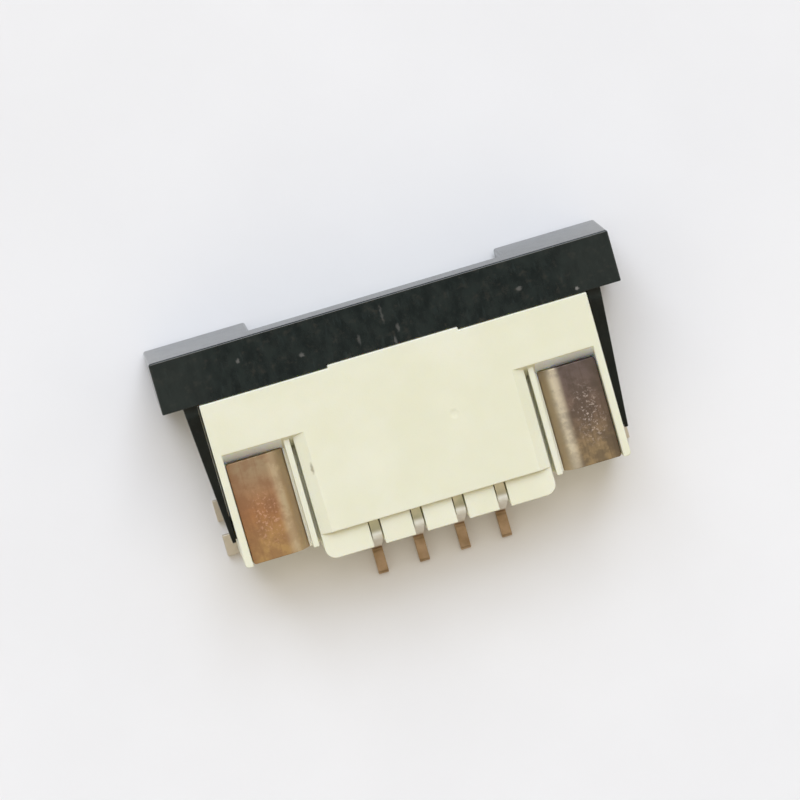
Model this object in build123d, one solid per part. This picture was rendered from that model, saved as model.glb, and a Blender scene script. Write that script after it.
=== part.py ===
from build123d import *
import os

# Right-angle surface-mount connector for a flat flexible cable, with a pull-out slider.
# X runs along the contact row, +Y points out of the cable mouth and +Z up from the board.
# The origin lies on the board, in the middle of the footprint from slider front to tail tips.
# Depths are measured backwards from the housing's front face. All sizes are in millimetres.

# Cable and contact row
contact_count = 4
pitch = 1.0
cable_side_clearance = 0.1

# Heights, stacked upwards from the board
board_gap = 0.05
floor_thickness = 0.95
cable_passage = 0.45
tongue_thickness = 0.42
tongue_clearance = 0.03
roof_thickness = 0.55

# Housing, outwards from the cable mouth and backwards from the front face
mouth_wall = 0.4
mouth_depth = 3.4
mouth_lead_in = 0.18
rim_thickness = 0.18
front_deck_depth = 1.24
rear_ledge_depth = 0.62
rear_ledge_drop = 0.12
block_overhang = 0.38
block_corner_radius = 0.25
flank_width = 0.27
groove_width = 0.09
groove_depth = 0.6
rib_thickness = 0.14
lip_width = 3.1
lip_proud = 0.07
rim_corner_radius = 0.08
recess_front_slope = 0.3
gate_width = 0.3
gate_sink = 0.02
gate_offset = 0.94
gate_setback = 0.58

# Hold-down clips, bent from sheet
clip_sheet = 0.2
clip_bend_radius = 0.28
clip_length = 2.4
clip_flange_width = 1.4
clip_sink = 0.22
clip_front_gap = 0.27
clip_clearance = 0.02
clip_corner_radius = 0.07
toe_length = 0.5
toe_gap = 0.34
toe_reach = 0.28

# Contacts, blanked from sheet
contact_sheet = 0.24
contact_clearance = 0.02
contact_sink = 0.1
slot_floor_thickness = 0.25
slot_front_wall = 0.45
spine_setback = 0.1
holding_arm_reach = 1.65
holding_arm_height = 0.26
barb_height = 0.035
barb_length = 0.22
beam_root_height = 0.36
beam_tip_height = 0.2
beam_tip_gap = 0.16
bump_rise = 0.25
bump_setback = 0.45
bump_length = 0.66
bump_radius = 0.12
tail_length = 1.05
tail_thickness = 0.22
riser_foot = 0.42
riser_inset = 0.16
heel_length = 0.2
shoulder_radius = 0.16
crotch_radius = 0.12
tail_tip_radius = 0.08

# Slider
bar_depth = 1.22
bar_drop = 0.04
bar_edge_radius = 0.04
shut_gap = 0.02
ear_clearance = 0.4
ear_board_gap = 0.12
ear_corner_radius = 0.06
funnel = 0.22
tongue_side_clearance = 0.03
tongue_reach = 2.5
wedge_length = 0.7
wedge_rise = 0.2
tip_chamfer = 0.08
arm_clearance = 0.04
arm_root_width = 0.33
arm_tip_width = 0.09
arm_length = 3.3
arm_drop = 0.22
arm_board_gap = 0.6
bar_overhang = 0.48
hook_depth = 0.1
hook_length = 0.5
hook_ramp = 0.2
hook_height = 0.7
hook_clearance = 0.04
travel = 1.3

# Levels above the board
floor_top = board_gap + floor_thickness
tongue_bottom = floor_top + cable_passage
tongue_top = tongue_bottom + tongue_thickness
ceiling = tongue_top + tongue_clearance
deck = ceiling + roof_thickness
ledge = deck - rear_ledge_drop
flange_top = deck - clip_sink
shoulder = flange_top - clip_sheet - clip_clearance
slot_floor = board_gap + slot_floor_thickness
slot_ceiling = ledge - contact_sink
bar_top = deck - bar_drop
arm_top = bar_top - arm_drop

# Half widths about the middle of the row
cable_half = (contact_count + 1) * pitch / 2
mouth_half = cable_half + cable_side_clearance
web_inner = mouth_half + mouth_wall
web_outer = web_inner + clip_sheet
rib_outer = web_inner - clip_clearance
rib_inner = rib_outer - rib_thickness
block_half = rib_inner - groove_width
plateau_half = block_half - flank_width
flange_outer = web_inner + clip_flange_width
recess_outer = flange_outer + clip_clearance
housing_half = recess_outer + rim_thickness
toe_outer = housing_half + toe_reach
arm_inner = housing_half + arm_clearance
slider_half = arm_inner + arm_root_width + bar_overhang
ear_inner = mouth_half + ear_clearance
tongue_half = mouth_half - tongue_side_clearance

# Depths behind the housing's front face
clip_front = front_deck_depth + clip_front_gap
clip_rear = clip_front + clip_length
block_rear = clip_rear + block_overhang
deck_rear = block_rear - rear_ledge_depth
tail_tip = block_rear + tail_length
bar_front = -(shut_gap + bar_depth)
bar_rear = -shut_gap
spine_front = mouth_depth + spine_setback

# The front face stands where the footprint's middle falls on the origin
front_y = (tail_tip + bar_front) / 2
clear = 1.0

SIDE = Plane(origin=(0, front_y, 0), x_dir=(0, -1, 0), z_dir=(-1, 0, 0))
CROSS = Plane(origin=(0, front_y, 0), x_dir=(1, 0, 0), z_dir=(0, -1, 0))
PLAN = Plane(origin=(0, front_y, 0), x_dir=(1, 0, 0), z_dir=(0, 0, -1))


def outline(points):
    """A flat face with straight edges through the points."""
    return make_face(Polyline(*points, close=True))


def rounded(face, corners):
    """The face with some corners rounded; each corner is a point and its radius."""
    for point, radius in corners:
        corner = face.vertices().sort_by_distance(point)[0]
        face = fillet(corner, radius)
    return face


def across(face, half_width):
    """A side profile of depth and height, spread to both sides of the middle."""
    return extrude(SIDE * face, half_width, both=True)


def backwards(face, start, end):
    """A cross-section of X and height, run between two depths."""
    return Pos(0, -start, 0) * extrude(CROSS * face, end - start)


def upright(face, bottom, top):
    """A plan of X and depth, raised between two heights."""
    return Pos(0, 0, top) * extrude(PLAN * face, top - bottom)


def rectangle(low, high):
    """A rectangle between two opposite corners."""
    return outline([low, (high[0], low[1]), high, (low[0], high[1])])


def both_sides(solid):
    """The solid and its mirror image across the middle of the row."""
    return solid + mirror(solid, Plane.YZ)


def contact_places():
    """The X of each contact in the row."""
    first = -(contact_count - 1) * pitch / 2
    return [first + index * pitch for index in range(contact_count)]


def clip_section(grow=0.0):
    """The C-shaped bent section of the right-hand clip, grown by a clearance all round."""
    left = web_inner - grow
    inside = web_outer + grow
    bottom = -grow
    top = flange_top + grow
    foot_top = clip_sheet + grow
    flange_bottom = flange_top - clip_sheet - grow
    section = outline([
        (flange_outer + grow, top),
        (left, top),
        (left, bottom),
        (toe_outer + grow, bottom),
        (toe_outer + grow, foot_top),
        (inside, foot_top),
        (inside, flange_bottom),
        (flange_outer + grow, flange_bottom),
    ])
    outer_radius = clip_bend_radius + clip_sheet + grow
    inner_radius = clip_bend_radius - grow
    return rounded(section, [
        ((left, top), outer_radius),
        ((left, bottom), outer_radius),
        ((inside, foot_top), inner_radius),
        ((inside, flange_bottom), inner_radius),
    ])


def make_hold_down():
    """The right-hand clip: top flange, web beside the mouth, and a foot with two solder toes."""
    clip = backwards(clip_section(), clip_front, clip_rear)
    first_toe = clip_rear - 2 * toe_length - toe_gap
    before_toes = rectangle((housing_half, clip_front - clear), (toe_outer + clear, first_toe))
    gap_start = first_toe + toe_length
    between_toes = rectangle((housing_half, gap_start), (toe_outer + clear, gap_start + toe_gap))
    clip -= upright(before_toes + between_toes, -clear, clip_sheet + clear)
    flange_edge = clip.edges().filter_by(Axis.Z).filter_by_position(Axis.X, flange_outer - clip_clearance,
                                                                    flange_outer + clip_clearance)
    return fillet(flange_edge, clip_corner_radius)


def contact_blank():
    """The contact's outline in depth and height: tail, spine, holding arm and sprung beam."""
    top = slot_ceiling - contact_clearance
    arm_top_edge = top - barb_height
    arm_bottom_edge = arm_top_edge - holding_arm_height
    beam_bottom = slot_floor + contact_clearance
    beam_top = beam_bottom + beam_root_height
    bump_top = floor_top + bump_rise
    beam_end = slot_front_wall + beam_tip_gap
    bump_at = slot_front_wall + bump_setback
    bump_rear = bump_at + bump_length / 2
    beam_rise = bump_top - bump_length / 2
    riser_rear = block_rear + riser_foot
    shoulder_rear = block_rear - riser_inset
    heel = block_rear + heel_length
    barb_root = holding_arm_reach + barb_length
    blank = outline([
        (tail_tip, 0),
        (tail_tip, tail_thickness),
        (riser_rear, tail_thickness),
        (shoulder_rear, top),
        (deck_rear, top),
        (deck_rear - barb_length, arm_top_edge),
        (barb_root, arm_top_edge),
        (barb_root, top),
        (holding_arm_reach, arm_top_edge),
        (holding_arm_reach, arm_bottom_edge),
        (spine_front, arm_bottom_edge),
        (spine_front, beam_top),
        (bump_rear, beam_rise),
        (bump_at, bump_top),
        (beam_end, beam_rise),
        (beam_end, beam_rise - beam_tip_height),
        (bump_rear, beam_rise - beam_tip_height),
        (spine_front, beam_bottom),
        (block_rear + contact_clearance, beam_bottom),
        (heel, 0),
    ])
    return rounded(blank, [
        ((tail_tip, tail_thickness), tail_tip_radius),
        ((riser_rear, tail_thickness), crotch_radius),
        ((shoulder_rear, top), shoulder_radius),
        ((spine_front, arm_bottom_edge), crotch_radius),
        ((spine_front, beam_top), crotch_radius),
        ((bump_rear, beam_rise), crotch_radius),
        ((bump_at, bump_top), bump_radius),
    ])


def make_contact(place):
    """One contact of the row, blanked from sheet that stands on edge."""
    return Pos(place, 0, 0) * across(contact_blank(), contact_sheet / 2)


def contact_slot(place):
    """The room that one contact takes from the floor, the rear wall and the roof."""
    roof_front = holding_arm_reach - contact_clearance
    room = outline([
        (slot_front_wall, slot_floor),
        (block_rear + clear, slot_floor),
        (block_rear + clear, deck + clear),
        (deck_rear, deck + clear),
        (deck_rear, slot_ceiling),
        (roof_front, slot_ceiling),
        (roof_front, tongue_bottom),
        (slot_front_wall, tongue_bottom),
    ])
    return Pos(place, 0, 0) * across(room, contact_sheet / 2 + contact_clearance)


def cable_mouth():
    """The open mouth for cable and tongue, with a lead-in at the floor and at the roof."""
    mouth = outline([
        (-clear, floor_top - mouth_lead_in - clear),
        (mouth_lead_in, floor_top),
        (mouth_depth, floor_top),
        (mouth_depth, ceiling),
        (-clear, ceiling),
    ])
    return across(mouth, mouth_half)


def shoulder_recess():
    """The stepped recess over one shoulder: flank, groove, rib and the clip's seat."""
    groove_floor = ledge - groove_depth
    section = outline([
        (plateau_half, deck),
        (block_half, ledge),
        (block_half, groove_floor),
        (rib_inner, groove_floor),
        (rib_inner, ledge),
        (rib_outer, ledge),
        (rib_outer, shoulder),
        (recess_outer, shoulder),
        (recess_outer, deck + clear),
        (plateau_half, deck + clear),
    ])
    slope_end = front_deck_depth + recess_front_slope
    sloped = outline([
        (front_deck_depth, deck + clear),
        (front_deck_depth, deck),
        (slope_end, shoulder),
        (slope_end, board_gap),
        (clip_rear + clear, board_gap),
        (clip_rear + clear, deck + clear),
    ])
    return backwards(section, front_deck_depth, clip_rear + clear) & across(sloped, housing_half)


def gate_mark():
    """The shallow dimple on the deck where the plastic was let into the mould."""
    radius = ((gate_width / 2) ** 2 + gate_sink ** 2) / (2 * gate_sink)
    place = Pos(gate_offset, front_y - front_deck_depth - gate_setback, deck - gate_sink + radius)
    return place * Sphere(radius)


def hook_levels():
    """The lowest and highest level of the arm's catch."""
    middle = (arm_board_gap + arm_top) / 2
    return middle - hook_height / 2, middle + hook_height / 2


def catch_track():
    """The pocket in the housing's flank in which the arm's catch runs between its stops."""
    low, high = hook_levels()
    front = arm_length - hook_length - travel - hook_clearance
    floor = arm_inner - hook_depth - hook_clearance
    plan = outline([
        (housing_half + clear, front),
        (housing_half, front),
        (floor, front + hook_ramp),
        (floor, arm_length + hook_clearance),
        (housing_half + clear, arm_length + hook_clearance),
    ])
    return upright(plan, low - hook_clearance, high + hook_clearance)


def make_housing():
    """The moulded housing with its mouth, contact slots, clip seats and catch tracks."""
    shoulders = rectangle((-housing_half, 0), (housing_half, clip_rear))
    shoulders = rounded(shoulders, [
        ((-housing_half, clip_rear), rim_corner_radius),
        ((housing_half, clip_rear), rim_corner_radius),
    ])
    block = rectangle((-block_half, 0), (block_half, block_rear))
    block = rounded(block, [
        ((-block_half, block_rear), block_corner_radius),
        ((block_half, block_rear), block_corner_radius),
    ])
    lip = rectangle((-lip_width / 2, -lip_proud), (lip_width / 2, front_deck_depth))
    rear_ledge = rectangle((-block_half, deck_rear), (block_half, block_rear + clear))
    clip_seat = clip_section(clip_clearance)
    body = upright(shoulders, board_gap, deck) + upright(block, board_gap, deck)
    body += upright(lip, ceiling, deck)
    body -= both_sides(shoulder_recess())
    body -= upright(rear_ledge, ledge, deck + clear)
    body -= both_sides(backwards(clip_seat, clip_front - clip_clearance, clip_rear + clear))
    body -= cable_mouth()
    for place in contact_places():
        body -= contact_slot(place)
    body -= both_sides(catch_track())
    body -= gate_mark()
    return body


def make_slider():
    """The slider: bar over the mouth, ears beside it, a wedge tongue and two latch arms."""
    bar = outline([
        (bar_rear, bar_top),
        (bar_front, bar_top),
        (bar_front, tongue_bottom + funnel),
        (bar_front + funnel, tongue_bottom),
        (bar_rear, tongue_bottom),
    ])
    slider = across(bar, ear_inner + clear)
    ear = rectangle((ear_inner, bar_front), (slider_half, bar_rear))
    ear = rounded(ear, [
        ((slider_half, bar_front), ear_corner_radius),
        ((ear_inner, bar_front), ear_corner_radius),
    ])
    slider += both_sides(upright(ear, ear_board_gap, bar_top))
    top_front_edge = slider.edges().group_by(Axis.Y)[-1].sort_by(Axis.Z)[-1]
    slider = fillet(top_front_edge, bar_edge_radius)
    bar_middle = (bar_front + bar_rear) / 2
    tongue = outline([
        (bar_middle, tongue_bottom),
        (tongue_reach - wedge_length, tongue_bottom),
        (tongue_reach, tongue_bottom + wedge_rise),
        (tongue_reach, tongue_top - tip_chamfer),
        (tongue_reach - tip_chamfer, tongue_top),
        (bar_middle, tongue_top),
    ])
    slider += across(tongue, tongue_half)
    arm = outline([
        (arm_inner, bar_middle),
        (arm_inner + arm_root_width, bar_middle),
        (arm_inner + arm_root_width, bar_rear),
        (arm_inner + arm_tip_width, arm_length),
        (arm_inner, arm_length),
    ])
    hook = outline([
        (arm_inner + arm_tip_width, arm_length - hook_length),
        (arm_inner, arm_length - hook_length),
        (arm_inner - hook_depth, arm_length - hook_length + hook_ramp),
        (arm_inner - hook_depth, arm_length),
        (arm_inner + arm_tip_width, arm_length),
    ])
    slider += both_sides(upright(arm, arm_board_gap, arm_top))
    slider += both_sides(upright(hook, *hook_levels()))
    lip_room = rectangle((-lip_width / 2 - shut_gap, bar_rear - lip_proud), (lip_width / 2 + shut_gap, 0))
    slider -= upright(lip_room, tongue_top, deck + clear)
    return slider


def main():
    """Builds every piece and writes one file for each."""
    pieces = {
        "housing": make_housing(),
        "slider": make_slider(),
        "hold_down_right": make_hold_down(),
        "hold_down_left": mirror(make_hold_down(), Plane.YZ),
    }
    for number, place in enumerate(contact_places(), start=1):
        pieces[f"contact_{number}"] = make_contact(place)
    os.makedirs("parts", exist_ok=True)
    for name, piece in pieces.items():
        export_step(piece, f"parts/{name}.step")


main()
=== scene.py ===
import math

import bmesh
import bpy
from mathutils import Matrix, Vector


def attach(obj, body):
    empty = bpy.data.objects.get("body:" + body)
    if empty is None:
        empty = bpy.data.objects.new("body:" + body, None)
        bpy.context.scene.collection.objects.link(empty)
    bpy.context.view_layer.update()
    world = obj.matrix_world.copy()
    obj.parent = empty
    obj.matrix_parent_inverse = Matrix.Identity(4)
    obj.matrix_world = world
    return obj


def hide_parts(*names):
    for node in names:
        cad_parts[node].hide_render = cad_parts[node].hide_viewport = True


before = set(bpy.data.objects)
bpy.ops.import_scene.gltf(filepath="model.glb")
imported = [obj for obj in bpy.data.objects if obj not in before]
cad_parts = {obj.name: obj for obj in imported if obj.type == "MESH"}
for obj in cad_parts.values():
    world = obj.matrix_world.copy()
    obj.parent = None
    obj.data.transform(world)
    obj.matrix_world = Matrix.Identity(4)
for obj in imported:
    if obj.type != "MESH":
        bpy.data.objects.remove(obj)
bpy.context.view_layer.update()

# Sizes are in millimetres where they are named, and in metres in the scene.
MM = 0.001

# Camera: its lean from straight above towards the part's front and left, its turn about the view line,
# its distance, the width that it sees there, and the place that it looks at
TILT_FRONT = math.radians(9.0)
TILT_LEFT = math.radians(3.2)
ROLL = math.radians(16.6)
CAMERA_DISTANCE = 130.0
VIEW_WIDTH = 18.41
SENSOR_WIDTH = 36.0
NEAR_LIMIT = 1.0
AIM = (-0.095, 0.682, 1.2)

# Meshes: points nearer than the gap become one, flatter edges go, and sharper convex edges are rounded.
# Faces are shaded as one surface up to the crease's angle, or at a rounding up to the rounding's angle.
WELD_GAP = 0.0005
FLAT_ANGLE = math.radians(0.5)
SHARP_ANGLE = math.radians(40.0)
CREASE_ANGLE = math.radians(21.0)
ROUNDING_ANGLE = math.radians(46.0)
SLIVER = 0.0002
MOST_CORNERS = 4
HOUSING_EDGE = 0.022
SLIDER_EDGE = 0.02
CLIP_EDGE = 0.016
CONTACT_EDGE = 0.012
EDGE_STEPS = 2
EDGE_PROFILE = 0.5

# Sky: its strength round about and straight above, what its sides and its rear add, and its tints
SKY_LEVEL = 0.215
SKY_TOP_LEVEL = 0.2
SKY_SIDE_LEVEL = 0.35
SKY_REAR_LEVEL = 0.15
SKY_FRONT = (0.94, 1.0, 1.08, 1.0)
SKY_REAR = (1.16, 1.0, 0.75, 1.0)
# Where the sky changes, in parts of a direction of length 1: tint and rear along Y, top along Z, sides by X
SKY_TINT_SPAN = (-0.4, 0.4)
SKY_TOP_SPAN = (0.88, 0.98)
SKY_SIDE_SPAN = (0.35, 0.75)
SKY_REAR_SPAN = (-0.8, -0.45)
# Lamps in front of the part, from the highest down: height in degrees, the share of a level surface's
# colour that they bring back from it, and their colour. They stand in two columns, at two turns.
LAMP_WARM = (1.16, 1.0, 0.8)
LAMP_COOL = (0.93, 1.0, 1.14)
LAMPS = [
    (77.0, 0.15, LAMP_WARM),
    (58.0, 0.205, LAMP_COOL),
    (43.0, 0.22, LAMP_COOL),
    (28.0, 0.12, LAMP_COOL),
]
LAMP_SPREAD = math.radians(28.0)
LAMP_TURNS = (math.radians(-16.0), math.radians(20.0))
FLOOR_SIZE = 4000.0

# Spans of the values in the materials: a whole share, most of a noise, and a spot's fade within its reach
SHARE_SPAN = (0.0, 1.0)
NOISE_SPAN = (0.3, 0.7)
SPOT_SPAN = (0.3, 1.0)

# Housing: how its plastic lets light through, more on the slopes in front of the clips
PLASTIC_IOR = 1.5
SUBSURFACE_SCALE = 0.3
SUBSURFACE_RADIUS = (1.0, 0.85, 0.5)
HOUSING_SUBSURFACE = 0.35
SLOPE_SUBSURFACE = 1.0
# Those slopes, painted paler and cooler as painted light: where they fade at their top, rear and front, and
# at their ends along the row
SLOPE_TOP_SPAN = (2.4, 2.44)
SLOPE_REAR_SPAN = (0.3, 0.4)
SLOPE_FRONT_SPAN = (0.85, 0.9)
SLOPE_INNER_SPAN = (3.01, 3.03)
SLOPE_OUTER_SPAN = (4.49, 4.51)
# A short dark line on the flank of the deck: place, reach along each axis, and strength
FLANK_MARK = ((-2.52, -0.06, 2.36), (0.055, 0.2, 0.2), 0.7)

# Slider: where the bar starts in front of the arms, and where it turns paler towards its ends
BAR_SPAN = (1.7, 1.9)
BAR_END_SPAN = (3.4, 5.2)
# Marks on the bar's top: place, reach along each axis, and strength
BAR_SCUFFS = [
    ((-0.03, 2.89, 2.41), (0.04, 0.3, 0.15), 0.22),
    ((0.12, 2.19, 2.41), (0.04, 0.18, 0.15), 0.35),
    ((0.25, 2.5, 2.41), (0.06, 0.13, 0.15), 0.3),
    ((-0.68, 2.47, 2.41), (0.05, 0.16, 0.15), 0.22),
    ((-2.03, 2.51, 2.41), (0.08, 0.07, 0.15), 0.45),
    ((-3.46, 2.79, 2.41), (0.05, 0.07, 0.15), 0.5),
    ((3.15, 2.57, 2.41), (0.09, 0.06, 0.15), 0.4),
    ((4.43, 2.19, 2.41), (0.06, 0.06, 0.15), 0.9),
]

# Clips: their front and rear tones, the darker outer edge, both sides of the bend, which hold a painted
# reflection of shade inside it and a painted highlight on it, by distance from the middle of the row, and the
# flange and the toes, by height
CLIP_FRONT_SPAN = (-0.9, 0.6)
CLIP_REAR_SPAN = (-1.8, -0.5)
CLIP_OUTER_SPAN = (4.05, 4.45)
BEND_INNER_SPAN = (3.14, 3.32)
BEND_OUTER_SPAN = (3.32, 3.56)
FLANGE_SPAN = (1.9, 2.0)
TOE_SPAN = (0.3, 0.7)
# The worn patch on each, and how much of the bend's painted highlight stays where the blotches are strongest
WORN_REACH = (0.45, 0.95, 0.5)
WORN_STRENGTH = 0.8
PAINTED_HIGHLIGHT_LEAST = 0.55

# Contacts: where the brown tails end by height, and where the shoulders' pale painted reflection gives way
# towards the front to painted shade in the slot
TAIL_SPAN = (0.3, 0.7)
SHOULDER_SPAN = (-2.02, -1.86)
TIN_METALLIC = 0.1


def tone(red, green, blue):
    """A colour in sRGB's screen values from 0 to 255, as the linear colour that nodes take."""
    linear = []
    for value in (red, green, blue):
        share = value / 255
        linear.append(share / 12.92 if share <= 0.04045 else ((share + 0.055) / 1.055) ** 2.4)
    return (*linear, 1.0)


# Ivory plastic
IVORY_CLOUDS = (tone(228, 227, 201), tone(232, 231, 209))
IVORY_GRAIN = tone(214, 208, 178)
IVORY_MARK = tone(138, 126, 98)
# Painted light: a paler, cooler colour on the slopes in front of the clips
IVORY_SLOPE_PAINTED_LIGHT = tone(240, 252, 249)
# Black plastic
BLACK_MOTTLE = (tone(16, 25, 25), tone(33, 41, 39))
BLACK_STREAKS = tone(48, 58, 57)
BLACK_PATCHES = tone(58, 56, 50)
BLACK_ENDS = tone(46, 51, 48)
# Painted shade for the arms
BLACK_ARMS_PAINTED_SHADE = tone(16, 15, 7)
BLACK_SCUFFS = tone(128, 126, 122)
# Clips: what they share, and what each has of its own, with the middle of its worn patch. Each front tone is
# greyer, partly its own and partly painted shade, and the right clip's tones are darker than the left's,
# partly their own and partly painted reflection.
# Painted reflection of shade, inside the bend
CLIP_STRIP_PAINTED_REFLECTION = tone(208, 190, 166)
CLIP_TOES = tone(216, 208, 192)
CLIP_LEFT = {
    "front": tone(173, 156, 128),
    "middle": tone(178, 129, 91),
    "rear": tone(193, 160, 108),
    "stain": tone(151, 113, 84),
    "speck": tone(214, 174, 146),
    # Painted highlight along the bend
    "painted_streak": tone(222, 203, 168),
    "worn_place": (-3.8, -0.9, 2.23),
}
CLIP_RIGHT = {
    "front": tone(119, 107, 104),
    "middle": tone(135, 116, 102),
    "rear": tone(172, 151, 115),
    "stain": tone(95, 84, 74),
    "speck": tone(214, 200, 190),
    # Painted highlight along the bend, brighter on this side to make up for weaker light
    "painted_streak": tone(247, 237, 213),
    "worn_place": (3.93, -0.7, 2.23),
}
# Contacts
# Painted reflection on the shoulder, painted shade in the slot, and a tail brown partly as painted reflection
CONTACT_SHOULDER_PAINTED_LIGHT = (tone(246, 245, 236), tone(238, 234, 220))
CONTACT_TAIL = (tone(170, 144, 112), tone(195, 169, 139))
CONTACT_SLOT_PAINTED_SHADE = (tone(180, 180, 152), tone(198, 192, 166))
# Floor
FLOOR_CLOUDS = (tone(235, 235, 235), tone(238, 238, 238))


class Graph:
    """A node tree, with short ways to add the nodes that are used here."""

    def __init__(self, tree):
        self.nodes = tree.nodes
        self.links = tree.links

    def set(self, socket, value):
        """Gives a socket a value, or links it to another node's output."""
        if isinstance(value, bpy.types.NodeSocket):
            self.links.new(value, socket)
        else:
            socket.default_value = value

    def parts(self, vector):
        """The three parts of a vector."""
        node = self.nodes.new("ShaderNodeSeparateXYZ")
        self.links.new(vector, node.inputs["Vector"])
        return node.outputs

    def range(self, value, low, high, new_low, new_high):
        """The value's span from low to high, drawn smoothly onto a new span."""
        node = self.nodes.new("ShaderNodeMapRange")
        node.interpolation_type = "SMOOTHSTEP"
        for name, given in zip(("Value", "From Min", "From Max", "To Min", "To Max"),
                               (value, low, high, new_low, new_high)):
            self.set(node.inputs[name], given)
        return node.outputs["Result"]

    def rising(self, value, low, high, strength=1.0):
        """A share that rises smoothly from 0 to the strength as the value goes from low to high."""
        return self.range(value, low, high, 0.0, strength)

    def falling(self, value, low, high, strength=1.0):
        """A share that falls smoothly from the strength to 0 as the value goes from low to high."""
        return self.range(value, low, high, strength, 0.0)

    def math(self, operation, first, second=0.0):
        """Two values put together by a math operation, or one value changed by it."""
        node = self.nodes.new("ShaderNodeMath")
        node.operation = operation
        self.set(node.inputs[0], first)
        self.set(node.inputs[1], second)
        return node.outputs["Value"]

    def product(self, first, *others):
        """Shares multiplied by each other."""
        for other in others:
            first = self.math("MULTIPLY", first, other)
        return first

    def mix(self, share, first, second):
        """A colour between two others."""
        node = self.nodes.new("ShaderNodeMix")
        node.data_type = "RGBA"
        self.set(node.inputs["Factor"], share)
        self.set(node.inputs["A"], first)
        self.set(node.inputs["B"], second)
        return node.outputs["Result"]


class Finish(Graph):
    """A material whose shader is fed by noises that are placed in millimetres on the piece."""

    def __init__(self, name, **constants):
        self.material = bpy.data.materials.new(name)
        self.material.use_nodes = True
        super().__init__(self.material.node_tree)
        self.shader = self.nodes["Principled BSDF"]
        for socket, value in constants.items():
            self.shader.inputs[socket.replace("_", " ")].default_value = value
        place = self.nodes.new("ShaderNodeTexCoord").outputs["Object"]
        self.place = self.stretched(place, (1 / MM, 1 / MM, 1 / MM))
        self.x, self.y, self.z = self.parts(self.place)

    def drive(self, name, value):
        """Links an output to one of the shader's inputs."""
        self.links.new(value, self.shader.inputs[name])

    def across(self):
        """The distance from the middle of the contact row, along it."""
        return self.math("ABSOLUTE", self.x)

    def stretched(self, place, scale, middle=(0, 0, 0)):
        """The place, measured from a middle and scaled along each axis."""
        node = self.nodes.new("ShaderNodeMapping")
        node.inputs["Scale"].default_value = scale
        node.inputs["Location"].default_value = [-share * at for share, at in zip(scale, middle)]
        self.links.new(place, node.inputs["Vector"])
        return node.outputs["Vector"]

    def noise(self, size, detail=2.0, roughness=0.5, stretch=(1, 1, 1)):
        """Smooth noise from 0 to 1, whose patches are about as large as the size in millimetres."""
        node = self.nodes.new("ShaderNodeTexNoise")
        node.inputs["Scale"].default_value = 1 / size
        node.inputs["Detail"].default_value = detail
        node.inputs["Roughness"].default_value = roughness
        self.links.new(self.stretched(self.place, stretch), node.inputs["Vector"])
        return node.outputs["Fac"]

    def ragged(self, size, amount):
        """The place, shifted to and fro by noise, so that what is drawn there gets uneven edges."""
        node = self.nodes.new("ShaderNodeTexNoise")
        node.inputs["Scale"].default_value = 1 / size
        self.links.new(self.place, node.inputs["Vector"])
        shift = self.nodes.new("ShaderNodeVectorMath")
        shift.operation = "MULTIPLY_ADD"
        self.links.new(node.outputs["Color"], shift.inputs[0])
        shift.inputs[1].default_value = (amount, amount, amount)
        half = amount / 2
        self.links.new(self.stretched(self.place, (1, 1, 1), (half, half, half)), shift.inputs[2])
        return shift.outputs["Vector"]

    def spot(self, place, middle, reach, strength):
        """The strength within an ellipsoid about the middle, fading to 0 at its reach along each axis."""
        node = self.nodes.new("ShaderNodeVectorMath")
        node.operation = "LENGTH"
        self.links.new(self.stretched(place, [1 / length for length in reach], middle), node.inputs[0])
        return self.falling(node.outputs["Value"], *SPOT_SPAN, strength)

    def gloss(self, size, low, high):
        """Drives the shader's roughness between two values by a noise."""
        self.drive("Roughness", self.range(self.noise(size, detail=4.0), *NOISE_SPAN, low, high))

    def bump(self, height, depth, below=None):
        """A normal that follows a height of the given depth in millimetres, over another normal if given."""
        node = self.nodes.new("ShaderNodeBump")
        node.inputs["Strength"].default_value = 1.0
        node.inputs["Distance"].default_value = depth * MM
        self.links.new(height, node.inputs["Height"])
        if below is not None:
            self.links.new(below, node.inputs["Normal"])
        return node.outputs["Normal"]


def ivory_plastic():
    """The housing's ivory plastic: faint clouds, fine grain, a short dark line, and slopes at the clips
    painted paler as painted light.
    """
    finish = Finish("ivory_plastic", IOR=PLASTIC_IOR, Subsurface_Scale=SUBSURFACE_SCALE * MM,
                    Subsurface_Radius=SUBSURFACE_RADIUS)
    clouds = finish.rising(finish.noise(size=1.6, detail=4.0), *NOISE_SPAN)
    grain = finish.noise(size=0.035, detail=3.0)
    colour = finish.mix(clouds, *IVORY_CLOUDS)
    colour = finish.mix(finish.rising(grain, low=0.58, high=0.8, strength=0.25), colour, IVORY_GRAIN)
    mark = finish.spot(finish.ragged(size=0.06, amount=0.05), *FLANK_MARK)
    colour = finish.mix(mark, colour, IVORY_MARK)
    across = finish.across()
    slope = finish.product(
        finish.falling(finish.z, *SLOPE_TOP_SPAN),
        finish.rising(finish.y, *SLOPE_REAR_SPAN),
        finish.falling(finish.y, *SLOPE_FRONT_SPAN),
        finish.rising(across, *SLOPE_INNER_SPAN),
        finish.falling(across, *SLOPE_OUTER_SPAN),
    )
    # The slopes in front of the clips get painted light: a paler, cooler colour
    finish.drive("Base Color", finish.mix(slope, colour, IVORY_SLOPE_PAINTED_LIGHT))
    depth = finish.range(slope, *SHARE_SPAN, HOUSING_SUBSURFACE, SLOPE_SUBSURFACE)
    finish.drive("Subsurface Weight", depth)
    finish.gloss(size=0.4, low=0.38, high=0.5)
    waves = finish.bump(finish.noise(size=0.5), depth=0.003)
    finish.drive("Normal", finish.bump(grain, depth=0.0018, below=waves))
    return finish.material


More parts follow.
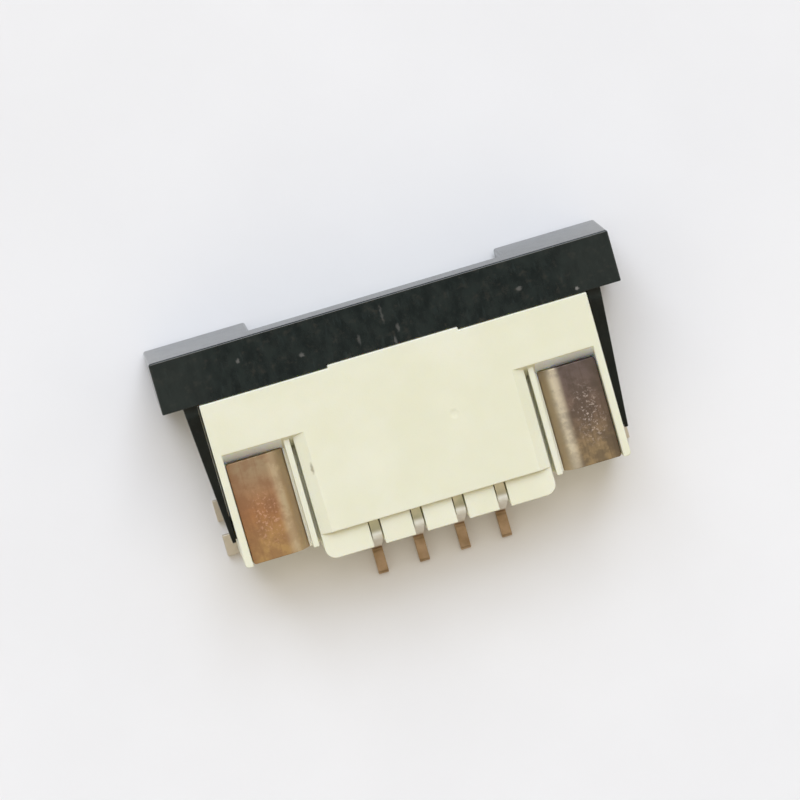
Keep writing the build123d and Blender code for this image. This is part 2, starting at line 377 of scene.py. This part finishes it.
def black_plastic():
    """The slider's black plastic: mottled and streaked, with paler ends, arms painted darker as painted
    shade, and a few scuffs.
    """
    finish = Finish("black_plastic", IOR=PLASTIC_IOR)
    mottle = finish.noise(size=0.3, detail=5.0, roughness=0.6, stretch=(1, 0.6, 1))
    streaks = finish.noise(size=0.1, detail=3.0, stretch=(1, 0.25, 1))
    patches = finish.noise(size=0.18, detail=4.0, roughness=0.6)
    colour = finish.mix(finish.rising(mottle, *NOISE_SPAN), *BLACK_MOTTLE)
    colour = finish.mix(finish.rising(streaks, low=0.56, high=0.8, strength=0.4), colour, BLACK_STREAKS)
    colour = finish.mix(finish.rising(patches, low=0.52, high=0.75, strength=0.5), colour, BLACK_PATCHES)
    bar = finish.rising(finish.y, *BAR_SPAN)
    ends = finish.product(finish.rising(finish.across(), *BAR_END_SPAN), bar)
    colour = finish.mix(finish.rising(ends, *SHARE_SPAN, strength=0.5), colour, BLACK_ENDS)
    # Painted shade: the arms behind the bar are painted darker
    colour = finish.mix(finish.falling(bar, *SHARE_SPAN, strength=0.6), colour, BLACK_ARMS_PAINTED_SHADE)
    uneven = finish.ragged(size=0.06, amount=0.08)
    for middle, reach, strength in BAR_SCUFFS:
        colour = finish.mix(finish.spot(uneven, middle, reach, strength), colour, BLACK_SCUFFS)
    finish.drive("Base Color", colour)
    finish.gloss(size=0.3, low=0.08, high=0.16)
    texture = finish.noise(size=0.05, detail=3.0, roughness=0.6)
    finish.drive("Normal", finish.bump(texture, depth=0.0003))
    return finish.material


def clip_metal(name, front, middle, rear, stain, speck, painted_streak, worn_place):
    """Dull tinned sheet, browned on top, with stains, rolling lines and a worn patch, greyer towards the
    front partly as painted shade, a painted reflection of shade inside the bend and a painted highlight along
    it.
    """
    finish = Finish(name, Metallic=1.0)
    blotches = finish.rising(finish.noise(size=0.45, detail=5.0, roughness=0.6), low=0.34, high=0.66)
    lines = finish.noise(size=0.07, detail=3.0, stretch=(1, 0.06, 1))
    specks = finish.noise(size=0.08, detail=4.0, roughness=0.7)
    across = finish.across()
    # Greyer towards the front, partly its own tone and partly painted shade
    colour = finish.mix(finish.rising(finish.y, *CLIP_FRONT_SPAN), middle, front)
    colour = finish.mix(finish.falling(finish.y, *CLIP_REAR_SPAN), colour, rear)
    colour = finish.mix(finish.rising(blotches, *SHARE_SPAN, strength=0.6), colour, stain)
    colour = finish.mix(finish.rising(lines, low=0.5, high=0.75, strength=0.4), colour, stain)
    colour = finish.mix(finish.rising(across, *CLIP_OUTER_SPAN, strength=0.6), colour, stain)
    patch = finish.spot(finish.ragged(size=0.3, amount=0.4), worn_place, WORN_REACH, WORN_STRENGTH)
    worn = finish.product(finish.rising(specks, low=0.52, high=0.66), patch)
    colour = finish.mix(worn, colour, speck)
    # Painted reflection of shade on the inside of the bend
    colour = finish.mix(finish.falling(across, *BEND_INNER_SPAN, strength=0.8), colour, CLIP_STRIP_PAINTED_REFLECTION)
    # Painted highlight along the bend, weaker where the blotches are strongest
    painted_highlight = finish.product(
        finish.rising(across, *BEND_INNER_SPAN),
        finish.falling(across, *BEND_OUTER_SPAN),
        finish.rising(finish.z, *FLANGE_SPAN),
        finish.range(blotches, *SHARE_SPAN, 1.0, PAINTED_HIGHLIGHT_LEAST),
    )
    colour = finish.mix(painted_highlight, colour, painted_streak)
    tinned = finish.falling(finish.z, *TOE_SPAN)
    finish.drive("Base Color", finish.mix(tinned, colour, CLIP_TOES))
    finish.drive("Roughness", finish.range(blotches, *SHARE_SPAN, new_low=0.46, new_high=0.56))
    rolled = finish.bump(lines, depth=0.0012)
    finish.drive("Normal", finish.bump(specks, depth=0.003, below=rolled))
    return finish.material


def contact_metal():
    """Blanked bronze, dull on its shoulder and painted pale there as painted reflection, painted darker in
    its slot as painted shade, and brown along the solder tail, partly its own tone and partly painted
    reflection.
    """
    finish = Finish("contact_metal")
    patches = finish.rising(finish.noise(size=0.35, detail=4.0), low=0.35, high=0.65)
    # The pale shoulder colour is painted reflection, and the darker colour in the slot is painted shade
    tinned = finish.mix(patches, *CONTACT_SHOULDER_PAINTED_LIGHT)
    # The tail's brown, partly its own tone and partly painted reflection
    browned = finish.mix(patches, *CONTACT_TAIL)
    dark = finish.mix(patches, *CONTACT_SLOT_PAINTED_SHADE)
    shoulder = finish.falling(finish.y, *SHOULDER_SPAN)
    raised = finish.rising(finish.z, *TAIL_SPAN)
    finish.drive("Base Color", finish.mix(raised, browned, finish.mix(shoulder, dark, tinned)))
    tin = finish.product(raised, shoulder)
    finish.drive("Metallic", finish.range(tin, *SHARE_SPAN, 1.0, TIN_METALLIC))
    finish.gloss(size=0.15, low=0.3, high=0.42)
    finish.drive("Normal", finish.bump(finish.noise(size=0.06, detail=3.0), depth=0.0006))
    return finish.material


def floor_paper():
    """A plain pale sheet under the part, with a faint unevenness."""
    finish = Finish("floor_paper", Roughness=0.9, IOR=1.3)
    clouds = finish.rising(finish.noise(size=6.0, detail=3.0), *NOISE_SPAN)
    finish.drive("Base Color", finish.mix(clouds, *FLOOR_CLOUDS))
    finish.drive("Normal", finish.bump(finish.noise(size=0.5, detail=4.0), depth=0.006))
    return finish.material


def even_normals(shape, flat_area, rounding):
    """A normal for each corner of each face, from the faces that meet smoothly there.

    Each counts by the area of the flat that it was part of before the flats were cut into triangles.
    """
    normals = []
    for face in shape.faces:
        for corner in face.loops:
            normal = Vector()
            for near in corner.vert.link_faces:
                limit = ROUNDING_ANGLE if near[rounding] or face[rounding] else CREASE_ANGLE
                if near.normal.angle(face.normal, 0.0) < limit:
                    normal += near.normal * near[flat_area]
            normals.append(normal.normalized())
    return normals


def soften(node, body, material, edge):
    """Stands a copy of a solid, with its sharp edges rounded, in the solid's place."""
    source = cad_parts[node]
    shape = bmesh.new()
    shape.from_mesh(source.data)
    shape.transform(Matrix.Scale(1 / MM, 4))
    bmesh.ops.remove_doubles(shape, verts=shape.verts, dist=WELD_GAP)
    bmesh.ops.dissolve_limit(shape, angle_limit=FLAT_ANGLE, verts=shape.verts, edges=shape.edges)
    flat_area = shape.faces.layers.float.new("flat_area")
    rounding = shape.faces.layers.int.new("rounding")
    sharp = [line for line in shape.edges if line.is_convex and line.calc_face_angle(0.0) > SHARP_ANGLE]
    rounded = bmesh.ops.bevel(shape, geom=sharp, offset=edge, offset_type="OFFSET", segments=EDGE_STEPS,
                              profile=EDGE_PROFILE, affect="EDGES", clamp_overlap=False)
    for face in rounded["faces"]:
        face[rounding] = 1
    bmesh.ops.dissolve_degenerate(shape, dist=SLIVER, edges=shape.edges)
    for face in shape.faces:
        face[flat_area] = face.calc_area()
    wide = [face for face in shape.faces if len(face.verts) > MOST_CORNERS]
    bmesh.ops.triangulate(shape, faces=wide)
    shape.normal_update()
    normals = even_normals(shape, flat_area, rounding)
    shape.faces.layers.float.remove(flat_area)
    # Looked up again by name, after the other layer has gone
    shape.faces.layers.int.remove(shape.faces.layers.int["rounding"])
    shape.transform(Matrix.Scale(MM, 4))
    mesh = bpy.data.meshes.new(node + "_finished")
    shape.to_mesh(mesh)
    shape.free()
    mesh.shade_smooth()
    mesh.normals_split_custom_set(normals)
    mesh.materials.append(material)
    piece = bpy.data.objects.new(node + "_finished", mesh)
    bpy.context.scene.collection.objects.link(piece)
    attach(piece, body)
    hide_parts(node)


def make_floor():
    """The pale sheet that the part stands on."""
    half = FLOOR_SIZE / 2 * MM
    corners = [(-half, -half, 0), (half, -half, 0), (half, half, 0), (-half, half, 0)]
    mesh = bpy.data.meshes.new("floor")
    mesh.from_pydata(corners, [], [(0, 1, 2, 3)])
    mesh.materials.append(floor_paper())
    floor = bpy.data.objects.new("floor", mesh)
    bpy.context.scene.collection.objects.link(floor)


def make_camera():
    """The camera, which looks down on the part past its front and left, turned about its view line."""
    back = Vector((-math.tan(TILT_LEFT), math.tan(TILT_FRONT), 1)).normalized()
    level = Vector((math.cos(ROLL), -math.sin(ROLL), 0))
    right = (level - back * level.dot(back)).normalized()
    up = back.cross(right)
    lens = bpy.data.cameras.new("camera")
    lens.sensor_width = SENSOR_WIDTH
    lens.lens = SENSOR_WIDTH * CAMERA_DISTANCE / VIEW_WIDTH
    lens.clip_start = NEAR_LIMIT * MM
    camera = bpy.data.objects.new("camera", lens)
    turn = Matrix((right, up, back)).transposed().to_4x4()
    camera.matrix_world = Matrix.Translation((Vector(AIM) + back * CAMERA_DISTANCE) * MM) @ turn
    bpy.context.scene.collection.objects.link(camera)
    bpy.context.scene.camera = camera


def make_lamps():
    """Two columns of soft distant lamps in front of the part, so that its shadow falls behind it."""
    for degrees, level, colour in LAMPS:
        height = math.radians(degrees)
        rise = math.sin(height)
        reach = math.cos(height)
        for turn in LAMP_TURNS:
            lamp = bpy.data.lights.new("lamp", "SUN")
            lamp.angle = LAMP_SPREAD
            lamp.color = colour
            lamp.energy = level / len(LAMP_TURNS) * math.pi / rise
            stand = bpy.data.objects.new("lamp", lamp)
            stand.rotation_mode = "QUATERNION"
            shining = Vector((-reach * math.sin(turn), -reach * math.cos(turn), -rise))
            stand.rotation_quaternion = shining.to_track_quat("-Z", "Y")
            bpy.context.scene.collection.objects.link(stand)


def make_world():
    """Soft light from all round: cool in front and warm behind, brighter at both sides and low behind."""
    world = bpy.data.worlds.new("studio")
    world.use_nodes = True
    sky = Graph(world.node_tree)
    x, y, z = sky.parts(sky.nodes.new("ShaderNodeTexCoord").outputs["Generated"])
    tint = sky.mix(sky.rising(y, *SKY_TINT_SPAN), SKY_REAR, SKY_FRONT)
    sides = sky.rising(sky.math("ABSOLUTE", x), *SKY_SIDE_SPAN, SKY_SIDE_LEVEL)
    rear = sky.falling(y, *SKY_REAR_SPAN, SKY_REAR_LEVEL)
    dome = sky.range(z, *SKY_TOP_SPAN, SKY_LEVEL, SKY_TOP_LEVEL)
    level = sky.math("ADD", dome, sky.math("ADD", sides, rear))
    background = sky.nodes["Background"]
    sky.links.new(tint, background.inputs["Color"])
    sky.links.new(level, background.inputs["Strength"])
    bpy.context.scene.world = world


def make_part():
    """Every piece of the connector, finished and set on its body."""
    soften("housing", "base", ivory_plastic(), HOUSING_EDGE)
    soften("slider", "slider", black_plastic(), SLIDER_EDGE)
    left = clip_metal("clip_metal_left", **CLIP_LEFT)
    right = clip_metal("clip_metal_right", **CLIP_RIGHT)
    soften("hold_down_left", "base", left, CLIP_EDGE)
    soften("hold_down_right", "base", right, CLIP_EDGE)
    bronze = contact_metal()
    for node in sorted(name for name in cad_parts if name.startswith("contact_")):
        soften(node, "base", bronze, CONTACT_EDGE)


make_part()
make_floor()
make_camera()
make_lamps()
make_world()
bpy.context.scene.view_settings.view_transform = "Standard"
